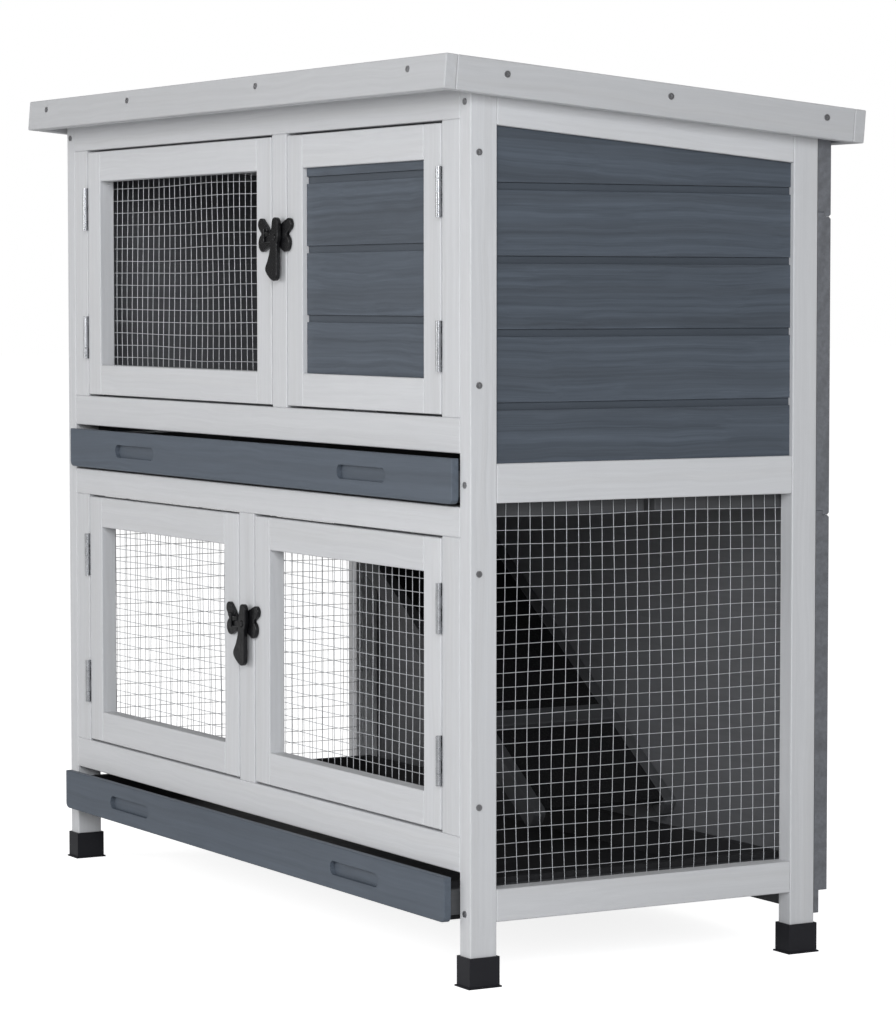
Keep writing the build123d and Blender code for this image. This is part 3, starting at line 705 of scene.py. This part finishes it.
class HUTCH_OT_roof(bpy.types.Operator):
    """Roofing felt in lapped strips"""

    bl_idname = "hutch.roof"
    bl_label = "Roofing felt"
    bl_options = {"REGISTER", "UNDO"}

    def execute(self, context):
        lo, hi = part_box("roof_felt")
        corners = solids_in("roof_felt")[0][0]
        ridge = corners[corners[:, 1] < lo.y + 0.002][:, 2].max()
        eaves = corners[corners[:, 1] > hi.y - 0.002][:, 2].max()
        slope = math.atan2(ridge - eaves, hi.y - lo.y)
        fall, run = math.sin(slope), math.cos(slope)
        lap = context.scene.hutch_sizes.lap
        length = (hi.y - lo.y) / run
        strips = int(math.ceil(length / lap))
        thick, under, hidden, drop = 0.0014, 0.0016, 0.03, 0.0012
        ripple, pitch, steps = 0.00015, 23, 60
        points, faces = [], []
        for s in range(strips):
            y1 = length - s * lap
            y0 = max(0.0, y1 - lap - hidden)
            base = len(points)
            tuck = drop if s + 1 < strips else 0.0
            rows = [(y0, 0.0, tuck), (y1, 0.0, 0.0), (y1, thick, 0.0), (y0, thick, tuck)]
            for i in range(steps + 1):
                x = lo.x + (hi.x - lo.x) * i / steps
                for along, rise, sink in rows:
                    wave = ripple * math.sin(x * pitch + s * 2.1) if rise else 0.0
                    lift = rise - under + wave
                    y = lo.y + along * run + lift * fall
                    points.append((x, y, ridge - along * fall + (lift - sink) * run))
            for i in range(steps):
                for j in range(4):
                    a, b = base + i * 4 + j, base + i * 4 + (j + 1) % 4
                    faces.append([a, b, b + 4, a + 4])
            faces.append([base + j for j in range(4)])
            faces.append([base + steps * 4 + 3 - j for j in range(4)])
        mesh = bpy.data.meshes.new("roof_felt_strips")
        mesh.from_pydata(points, [], faces)
        facing_out(mesh)
        piece = put("roof_felt_strips", mesh, "frame", "felt", ("roof_felt",))
        for polygon in piece.data.polygons:
            polygon.use_smooth = False
        return {"FINISHED"}


class HUTCH_OT_ironwork(bpy.types.Operator):
    """Hinges, screws, foot caps, tray pans and the ramp's tread in their own finishes"""

    bl_idname = "hutch.ironwork"
    bl_label = "Hinges, screws and feet"
    bl_options = {"REGISTER", "UNDO"}

    def execute(self, context):
        for node, slot in SLOT_OF.items():
            if slot in ("hinge", "screw", "foot", "tread") or node.endswith("_box"):
                piece = NODES[node]
                piece.data.materials.clear()
                piece.data.materials.append(material_for(slot))
        return {"FINISHED"}


class HUTCH_OT_latches(bpy.types.Operator):
    """Cast lever latches: keeper, pivot plate and lever"""

    bl_idname = "hutch.latches"
    bl_label = "Latches"
    bl_options = {"REGISTER", "UNDO"}

    def execute(self, context):
        for which in ("upper", "lower"):
            self.casting(f"latch_{which}_keeper")
            self.casting(f"latch_{which}_plate")
            self.casting(f"latch_{which}_lever")
        return {"FINISHED"}

    def casting(self, node):
        """The sawn shape of a node, melted into a rounded casting."""
        mesh = NODES[node].data.copy()
        mesh.materials.clear()
        mesh.name = f"{node}_casting"
        work = bmesh.new()
        work.from_mesh(mesh)
        bmesh.ops.remove_doubles(work, verts=work.verts, dist=WELD)
        work.to_mesh(mesh)
        work.free()
        piece = put(mesh.name, mesh, BODY_OF[node], "cast_black", (node,))
        cells = piece.modifiers.new("Cells", "REMESH")
        cells.mode = "VOXEL"
        cells.voxel_size = 0.0005
        cells.use_smooth_shade = True
        melt = piece.modifiers.new("Melt", "SMOOTH")
        melt.factor = 0.6
        melt.iterations = 5


class HUTCH_OT_trays(bpy.types.Operator):
    """Tray fronts with their finger pulls, and the strips along the sides of the pans"""

    bl_idname = "hutch.trays"
    bl_label = "Pull-out trays"
    bl_options = {"REGISTER", "UNDO"}

    def execute(self, context):
        rng = random.Random(51)
        sizes = context.scene.hutch_sizes
        board, gap = 0.0070, 0.0002  # thickness of the front board, joint behind it
        strip_in, strip_out = 0.4041, 0.4110
        strip_low, strip_high = 0.0062, 0.0290
        for which in ("upper", "lower"):
            node = f"tray_{which}_front"
            lo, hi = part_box(node)
            solids = [self.front_board(node, lo.y + board)]
            for sign in (-1, 1):
                inner, outer = sign * strip_in, sign * strip_out
                outline = [(inner, lo.z + strip_low), (outer, lo.z + strip_low),
                           (outer, lo.z + strip_high), (inner, lo.z + strip_high)]
                solids.append(prism(outline, 1, lo.y + board + gap, hi.y))
            mesh = timber_mesh(f"tray_{which}_timber", solids, rng)
            facing_out(mesh)
            piece = put(mesh.name, mesh, f"tray_{which}", "grey_smooth", (node,), sizes.ease)
            # the side strips behind the front board take the darker grey: painted shade
            second_finish(piece, "grey_painted_shade", lambda n, c: c.y > lo.y + board + gap / 2)
        return {"FINISHED"}

    def front_board(self, node, back):
        """The front board of a tray with its finger pulls, parted from the side strips."""
        work = bmesh.new()
        work.from_mesh(NODES[node].data)
        bmesh.ops.remove_doubles(work, verts=work.verts, dist=WELD)
        parts = list(work.verts) + list(work.edges) + list(work.faces)
        bmesh.ops.bisect_plane(work, geom=parts, plane_co=(0, back, 0), plane_no=(0, 1, 0),
                               clear_outer=True)
        bmesh.ops.holes_fill(work, edges=[e for e in work.edges if e.is_boundary])
        bmesh.ops.dissolve_limit(work, angle_limit=FLAT, verts=work.verts, edges=work.edges)
        work.verts.ensure_lookup_table()
        work.verts.index_update()
        points = np.array([v.co[:] for v in work.verts])
        rows = [[v.index for v in f.verts] for f in work.faces]
        work.free()
        return points, rows


class HUTCH_OT_stage(bpy.types.Operator):
    """Pale floor, soft light and the camera"""

    bl_idname = "hutch.stage"
    bl_label = "Stage"
    bl_options = {"REGISTER", "UNDO"}

    def execute(self, context):
        scene = context.scene
        self.floor(scene)
        self.surroundings(scene)
        self.lamps(scene)
        self.camera(scene)
        return {"FINISHED"}

    def floor(self, scene):
        """A wide pale floor that glows only where it is looked at directly."""
        mesh = bpy.data.meshes.new("floor")
        reach = 30.0
        corners = [(-reach, -reach, 0), (reach, -reach, 0), (reach, reach, 0), (-reach, reach, 0)]
        mesh.from_pydata(corners, [], [(0, 1, 2, 3)])
        floor = bpy.data.objects.new("floor", mesh)
        scene.collection.objects.link(floor)
        material, tree, shader = blank("Studio floor", 0.9, specular=0.1)
        shader.inputs["Base Color"].default_value = (0.90, 0.90, 0.90, 1)
        shader.inputs["Emission Color"].default_value = (1, 1, 1, 1)
        seen = add(tree, "ShaderNodeLightPath").outputs["Is Camera Ray"]
        glow = add(tree, "ShaderNodeMapRange", {"Value": seen, "To Min": 0.0, "To Max": 0.85})
        tree.links.new(glow.outputs["Result"], shader.inputs["Emission Strength"])
        mesh.materials.append(material)

    def surroundings(self, scene):
        """A white backdrop that adds only a little light of its own."""
        world = bpy.data.worlds.new("Studio")
        world.use_nodes = True
        tree = world.node_tree
        tree.nodes["Background"].inputs["Color"].default_value = (1, 1, 1, 1)
        seen = add(tree, "ShaderNodeLightPath").outputs["Is Camera Ray"]
        level = add(tree, "ShaderNodeMapRange", {"Value": seen, "To Min": 0.20, "To Max": 1.0})
        tree.links.new(level.outputs["Result"], tree.nodes["Background"].inputs["Strength"])
        scene.world = world

    def lamps(self, scene):
        """Soft boxes to the right, in front and above, turned to the middle of the hutch."""
        middle = Vector((0, 0, 0.4))
        plain, cool = (1.0, 1.0, 1.0), (0.955, 0.975, 1.0)
        for name, at, size_x, size_y, power, colour in (
            ("side", (3.9, -2.5, 1.8), 2.4, 2.0, 120.0, cool),
            ("front", (-1.5, -4.2, 1.4), 3.0, 2.0, 61.0, plain),
            ("top", (0.0, 0.3, 4.4), 3.4, 3.0, 24.0, plain),
        ):
            data = bpy.data.lights.new(name, "AREA")
            data.shape = "RECTANGLE"
            data.size, data.size_y = size_x, size_y
            data.energy, data.color = power, colour
            lamp = bpy.data.objects.new(name, data)
            lamp.location = at
            lamp.rotation_euler = (middle - Vector(at)).to_track_quat("-Z", "Y").to_euler()
            scene.collection.objects.link(lamp)

    def camera(self, scene):
        """The camera at the right front corner, looking slightly down."""
        pitch, roll, heading = 0.0594, 0.0002, 1.0512
        lens = bpy.data.cameras.new("camera")
        lens.sensor_width = 36.0
        lens.lens = 126.65
        lens.clip_end = 100.0
        camera = bpy.data.objects.new("camera", lens)
        camera.location = (3.1252, -1.7488, 0.6110)
        camera.rotation_euler = (math.pi / 2 - pitch, roll, heading)
        scene.collection.objects.link(camera)
        scene.camera = camera
        scene.view_settings.view_transform = "Standard"
        scene.view_settings.exposure = 0.0


class HUTCH_PT_panel(bpy.types.Panel):
    """Build steps and settings of the hutch"""

    bl_idname = "HUTCH_PT_panel"
    bl_label = "Rabbit hutch"
    bl_space_type = "VIEW_3D"
    bl_region_type = "UI"
    bl_category = "Hutch"

    def draw(self, context):
        layout = self.layout
        for step in STEPS:
            layout.operator(step.bl_idname)
        for group in (context.scene.hutch_finish, context.scene.hutch_sizes):
            column = layout.column()
            for key in group.__annotations__:
                column.prop(group, key)


STEPS = (
    HUTCH_OT_frame, HUTCH_OT_walls, HUTCH_OT_doors, HUTCH_OT_wire, HUTCH_OT_roof, HUTCH_OT_ironwork,
    HUTCH_OT_latches, HUTCH_OT_trays, HUTCH_OT_stage,
)
CLASSES = (HutchFinish, HutchSizes, *STEPS, HUTCH_PT_panel)


def register():
    for kind in CLASSES:
        bpy.utils.register_class(kind)
    bpy.types.Scene.hutch_finish = bpy.props.PointerProperty(type=HutchFinish)
    bpy.types.Scene.hutch_sizes = bpy.props.PointerProperty(type=HutchSizes)


def unregister():
    del bpy.types.Scene.hutch_sizes
    del bpy.types.Scene.hutch_finish
    for kind in reversed(CLASSES):
        bpy.utils.unregister_class(kind)


def main():
    """Run every build step in order."""
    register()
    for step in STEPS:
        group, name = step.bl_idname.split(".")
        getattr(getattr(bpy.ops, group), name)()


if __name__ == "__main__":
    main()
